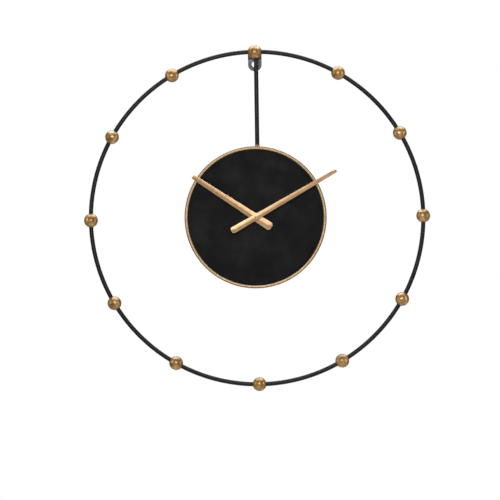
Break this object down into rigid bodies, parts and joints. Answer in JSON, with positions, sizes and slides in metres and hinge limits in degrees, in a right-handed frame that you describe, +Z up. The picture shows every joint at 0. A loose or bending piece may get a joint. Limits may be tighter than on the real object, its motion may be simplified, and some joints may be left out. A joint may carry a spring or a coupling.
{
  "type": "wall clock",
  "caption": "Wall clock with an open round bar frame, ball hour markers, and a small disc dial hung on a rod at its centre.",
  "frame": {"origin": "centre of the hanging hole, on the tab's back face, which lies on the wall", "axes": "+Y into the wall, so the dial faces -Y; +Z up; +X to the right as seen from the front"},
  "size_m": [0.6218, 0.045, 0.6218],
  "materials": {
    "black_metal": "satin black paint on a rolled steel bar",
    "gold_metal": "antique gold leaf paint, lightly mottled",
    "grey_steel": "blue-grey zinc-plated steel",
    "dial_black": "matt black paint, faintly mottled",
    "hand_gold": "brushed, with a pale gold finish",
    "bright_brass": "turned brass",
    "washer_rubber": "soft black rubber",
    "case_plastic": "fine moulded texture",
    "frame_plastic": "natural moulded plastic",
    "wheel_plastic": "natural moulded plastic",
    "battery_wrap": "printed sleeve without any marks",
    "contact_nickel": "nickel plated",
    "copper_wire": "enamelled copper wire",
    "stator_iron": "annealed soft iron",
    "board_green": "solder resist on glass laminate",
    "resin_black": "black potting resin",
    "magnet_dark": "sintered magnet"
  },
  "bodies": {
    "clock_frame": {"outer_ring": "black_metal", "hanger_rod": "black_metal", "hanging_tab": "grey_steel", "dial_rim": "gold_metal", "dial_plate": "dial_black", "rubber_washer": "washer_rubber", "dial_washer": "bright_brass", "fixing_nut": "bright_brass", "threaded_bushing": "bright_brass", "movement_front_case": "case_plastic", "movement_back_cover": "case_plastic", "middle_plate": "frame_plastic", "negative_contact": "contact_nickel", "positive_contact": "contact_nickel", "coil_bobbin": "frame_plastic", "coil_winding": "copper_wire", "stator": "stator_iron", "stator_screws": "contact_nickel", "circuit_board": "board_green", "chip_cover": "resin_black", "crystal_can": "contact_nickel", "hour_ball_01": "gold_metal", "hour_ball_02": "gold_metal", "hour_ball_03": "gold_metal", "hour_ball_04": "gold_metal", "hour_ball_05": "gold_metal", "hour_ball_06": "gold_metal", "hour_ball_07": "gold_metal", "hour_ball_08": "gold_metal", "hour_ball_09": "gold_metal", "hour_ball_10": "gold_metal", "hour_ball_11": "gold_metal", "hour_ball_12": "gold_metal"},
    "minute_hand_set": {"minute_hand": "hand_gold", "minute_tube": "bright_brass", "hand_nut": "hand_gold"},
    "hour_hand_set": {"hour_hand": "hand_gold", "hour_wheel": "wheel_plastic"},
    "motion_wheel_set": {"motion_wheel": "wheel_plastic"},
    "set_knob_set": {"set_knob": "case_plastic"},
    "second_wheel_set": {"second_wheel": "wheel_plastic"},
    "third_wheel_set": {"third_wheel": "wheel_plastic"},
    "centre_wheel_set": {"centre_wheel": "wheel_plastic"},
    "fifth_wheel_set": {"fifth_wheel": "wheel_plastic"},
    "rotor_set": {"rotor": "wheel_plastic", "rotor_magnet": "magnet_dark"},
    "battery_cell": {"battery": "battery_wrap"}
  },
  "joints": [
    {"name": "minute_hand_spin", "type": "hinge", "parent": "clock_frame", "child": "minute_hand_set", "pos_m": [-0.0027, -0.0404, -0.2755], "axis": [0, 1, 0], "continuous": true},
    {"name": "hour_hand_spin", "type": "hinge", "parent": "clock_frame", "child": "hour_hand_set", "pos_m": [-0.0027, -0.035, -0.2755], "axis": [0, 1, 0], "continuous": true},
    {"name": "motion_wheel_spin", "type": "hinge", "parent": "clock_frame", "child": "motion_wheel_set", "pos_m": [-0.0111, -0.018, -0.2755], "axis": [0, 1, 0], "continuous": true},
    {"name": "set_knob_spin", "type": "hinge", "parent": "clock_frame", "child": "set_knob_set", "pos_m": [-0.01928, -0.0038, -0.27077], "axis": [0, 1, 0], "continuous": true},
    {"name": "second_wheel_spin", "type": "hinge", "parent": "clock_frame", "child": "second_wheel_set", "pos_m": [-0.0027, -0.0125, -0.2755], "axis": [0, 1, 0], "continuous": true},
    {"name": "fifth_wheel_spin", "type": "hinge", "parent": "clock_frame", "child": "fifth_wheel_set", "pos_m": [-0.00735, -0.0105, -0.26745], "axis": [0, 1, 0], "continuous": true},
    {"name": "rotor_spin", "type": "hinge", "parent": "clock_frame", "child": "rotor_set", "pos_m": [-0.01085, -0.0134, -0.26138], "axis": [0, 1, 0], "continuous": true},
    {"name": "third_wheel_spin", "type": "hinge", "parent": "clock_frame", "child": "third_wheel_set", "pos_m": [0.0063, -0.0145, -0.2755], "axis": [0, 1, 0], "continuous": true},
    {"name": "centre_wheel_spin", "type": "hinge", "parent": "clock_frame", "child": "centre_wheel_set", "pos_m": [-0.0027, -0.0163, -0.2755], "axis": [0, 1, 0], "continuous": true},
    {"name": "battery_lift", "type": "slide", "parent": "clock_frame", "child": "battery_cell", "axis": [0, 1, 0], "range_m": [0, 0.02]}
  ],
  "couplings": [
    {"joint": "hour_hand_spin", "follows": "minute_hand_spin", "ratio": 0.083333},
    {"joint": "motion_wheel_spin", "follows": "minute_hand_spin", "ratio": -0.33333},
    {"joint": "set_knob_spin", "follows": "minute_hand_spin", "ratio": 0.66667},
    {"joint": "fifth_wheel_spin", "follows": "second_wheel_spin", "ratio": -5},
    {"joint": "rotor_spin", "follows": "second_wheel_spin", "ratio": 30},
    {"joint": "third_wheel_spin", "follows": "second_wheel_spin", "ratio": -0.13333},
    {"joint": "centre_wheel_spin", "follows": "second_wheel_spin", "ratio": 0.016667}
  ]
}
